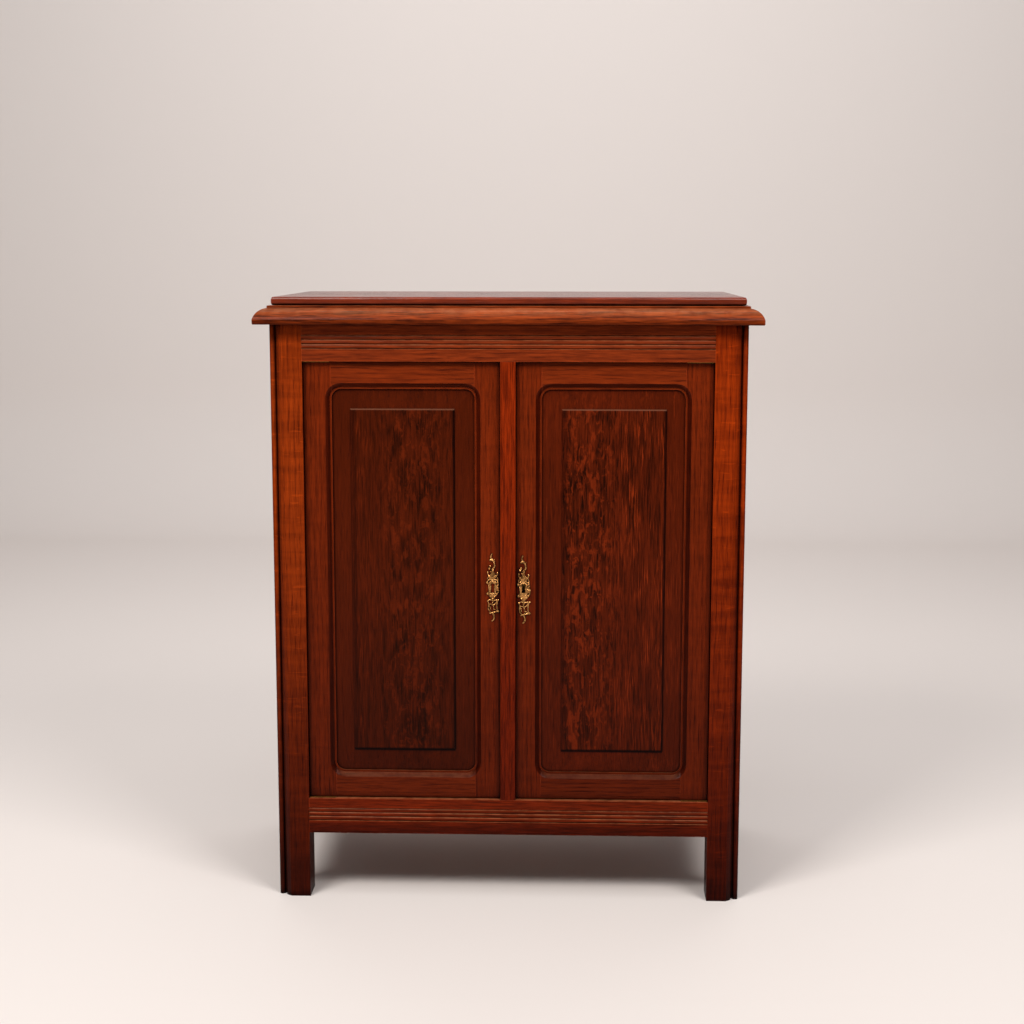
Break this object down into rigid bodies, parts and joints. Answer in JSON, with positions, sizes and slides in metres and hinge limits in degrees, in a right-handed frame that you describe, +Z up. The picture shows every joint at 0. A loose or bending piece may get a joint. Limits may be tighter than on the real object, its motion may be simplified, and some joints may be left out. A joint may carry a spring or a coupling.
{
  "type": "gramophone cabinet",
  "caption": "Stained oak gramophone cabinet on four posts, with raised-panel doors over a record store and horn, and a lid over the turntable.",
  "frame": {"origin": "on the floor, under the centre of the whole cabinet with its cornice", "axes": "+Z up, -Y out of the doors, +X to the right of someone facing the doors"},
  "size_m": [0.74, 0.394, 0.91],
  "materials": {
    "oak_frame": "red-brown stain under french polish",
    "oak_panel": "dark red-brown stain under french polish",
    "oak_inside": "plain stained and waxed",
    "black_wood": "ebonised, polished",
    "brass": "aged",
    "gilt_brass": "cast and gilt, worn",
    "steel": "bright mild steel, oiled",
    "nickel": "nickel plate",
    "cast_iron": "black japanned",
    "felt": "green baize"
  },
  "bodies": {
    "cabinet": {"post_front_left": "oak_frame", "post_front_right": "oak_frame", "posts_rear": "oak_frame", "rail_front_top": "oak_frame", "rail_front_bottom": "oak_frame", "rails_side": "oak_frame", "rails_back": "oak_frame", "panels_side": "oak_panel", "panel_back": "oak_inside", "cornice": "oak_frame", "centre_mullion": "oak_frame", "bottom_board": "oak_inside", "record_shelf": "oak_inside", "record_dividers": "oak_inside", "horn_top": "oak_inside", "horn_floor": "oak_inside", "horn_sides": "oak_inside", "horn_throat": "cast_iron", "louvres": "oak_inside", "deck_fascia": "oak_inside", "motor_board": "oak_inside", "lid_hinge_case_leaves": "brass", "door_pivot_plates": "brass", "motor_frame": "steel", "winding_bush": "brass", "tonearm_base": "nickel", "deck_posts": "nickel", "needle_cups": "nickel", "crank_clips": "nickel"},
    "lid": {"lid_plate": "oak_panel", "lid_battens": "oak_inside", "lid_hinge_lid_leaves": "brass"},
    "left_door": {"door_left_stiles": "oak_frame", "door_left_rails": "oak_frame", "door_left_panel": "oak_panel", "door_left_pivots": "steel", "escutcheon_left": "gilt_brass", "bolt_guide": "brass"},
    "right_door": {"door_right_stiles": "oak_frame", "door_right_rails": "oak_frame", "door_right_panel": "oak_panel", "door_right_pivots": "steel", "escutcheon_right": "gilt_brass", "lock_case": "steel"},
    "lock_bolt": {"lock_bolt": "brass"},
    "door_bolt": {"door_bolt": "brass"},
    "turntable": {"turntable_platter": "cast_iron", "turntable_mat": "felt", "turntable_spindle": "steel"},
    "governor": {"governor": "steel"},
    "spring_barrel": {"spring_barrel": "brass"},
    "winding_shaft": {"winding_shaft": "steel"},
    "tonearm": {"tonearm": "nickel"},
    "soundbox": {"soundbox": "nickel"},
    "brake": {"brake_lever": "nickel"},
    "speed_control": {"speed_lever": "nickel"},
    "crank": {"crank": "nickel"},
    "crank_handle": {"crank_knob": "black_wood"}
  },
  "joints": [
    {"name": "lid_hinge", "type": "hinge", "parent": "cabinet", "child": "lid", "pos_m": [0, 0.1927, 0.8997], "axis": [-1, 0, 0], "range_deg": [0, 95]},
    {"name": "left_door_hinge", "type": "hinge", "parent": "cabinet", "child": "left_door", "pos_m": [-0.2922, -0.165, 0.48], "axis": [0, 0, -1], "range_deg": [0, 90]},
    {"name": "right_door_hinge", "type": "hinge", "parent": "cabinet", "child": "right_door", "pos_m": [0.2922, -0.165, 0.48], "axis": [0, 0, 1], "range_deg": [0, 90]},
    {"name": "lock_bolt_slide", "type": "slide", "parent": "right_door", "child": "lock_bolt", "axis": [-1, 0, 0], "range_m": [0, 0.01]},
    {"name": "door_bolt_slide", "type": "slide", "parent": "left_door", "child": "door_bolt", "axis": [0, 0, -1], "range_m": [0, 0.01]},
    {"name": "turntable_spin", "type": "hinge", "parent": "cabinet", "child": "turntable", "pos_m": [-0.07, 0.02, 0.74], "axis": [0, 0, -1], "continuous": true},
    {"name": "governor_spin", "type": "hinge", "parent": "cabinet", "child": "governor", "pos_m": [-0.07, 0.047, 0.736], "axis": [1, 0, 0], "continuous": true},
    {"name": "spring_barrel_turn", "type": "hinge", "parent": "cabinet", "child": "spring_barrel", "pos_m": [-0.07, -0.027, 0.736], "axis": [1, 0, 0], "continuous": true},
    {"name": "winding_turn", "type": "hinge", "parent": "cabinet", "child": "winding_shaft", "pos_m": [0.1, -0.027, 0.736], "axis": [1, 0, 0], "continuous": true},
    {"name": "tonearm_swing", "type": "hinge", "parent": "cabinet", "child": "tonearm", "pos_m": [0.14, 0.133, 0.8], "axis": [0, 0, -1], "range_deg": [0, 50]},
    {"name": "soundbox_lift", "type": "hinge", "parent": "tonearm", "child": "soundbox", "pos_m": [0.14, -0.067, 0.85], "axis": [-1, 0, 0], "range_deg": [0, 40]},
    {"name": "brake_turn", "type": "hinge", "parent": "cabinet", "child": "brake", "pos_m": [0.059, -0.033, 0.7875], "axis": [0, 0, 1], "range_deg": [0, 12]},
    {"name": "speed_turn", "type": "hinge", "parent": "cabinet", "child": "speed_control", "pos_m": [-0.25, -0.087, 0.7875], "axis": [0, 0, 1], "range_deg": [-30, 30]},
    {"name": "crank_lift", "type": "slide", "parent": "cabinet", "child": "crank", "axis": [0, 0, 1], "range_m": [0, 0.06]},
    {"name": "crank_handle_spin", "type": "hinge", "parent": "crank", "child": "crank_handle", "pos_m": [0.22, 0.035, 0.793], "axis": [0, 1, 0], "continuous": true}
  ],
  "couplings": [
    {"joint": "governor_spin", "follows": "turntable_spin", "ratio": 10},
    {"joint": "spring_barrel_turn", "follows": "turntable_spin", "ratio": 0.05}
  ]
}
